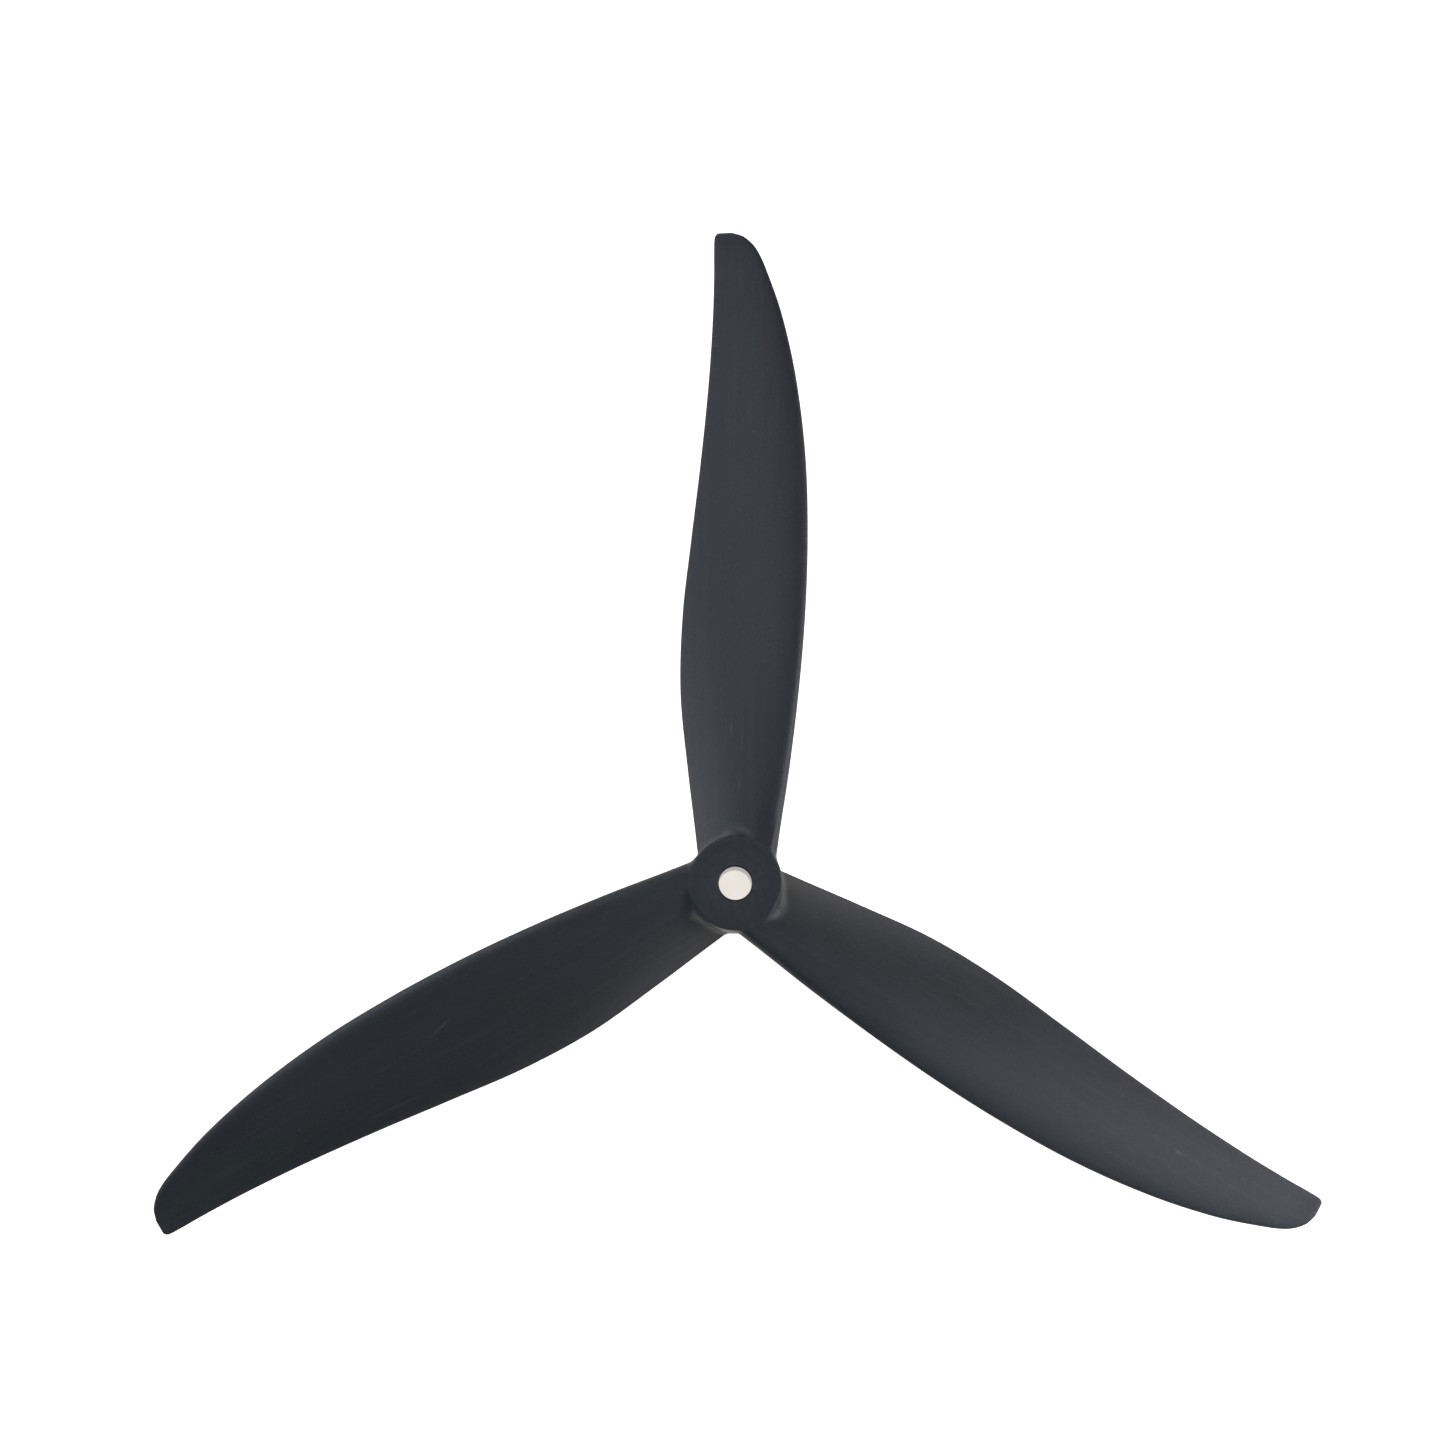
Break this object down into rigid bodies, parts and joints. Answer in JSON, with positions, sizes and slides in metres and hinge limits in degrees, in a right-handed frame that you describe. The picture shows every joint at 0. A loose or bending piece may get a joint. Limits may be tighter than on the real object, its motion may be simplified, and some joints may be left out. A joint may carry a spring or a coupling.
{
  "type": "three-blade propeller",
  "caption": "Black moulded propeller with curved, twisted blades that meet at a short round hub with a plain through bore.",
  "frame": {"origin": "centre of the shaft bore at the hub's back face", "axes": "+Z along the shaft, the way the propeller pulls; +Y along blade 1; seen from +Z it turns clockwise"},
  "size_m": [0.1775, 0.1549, 0.0091],
  "materials": {
    "glass_nylon": "black glass-filled nylon, moulded, fine satin grain"
  },
  "bodies": {
    "root": {"hub": "glass_nylon", "blade_1": "glass_nylon", "blade_2": "glass_nylon", "blade_3": "glass_nylon"}
  },
  "joints": []
}
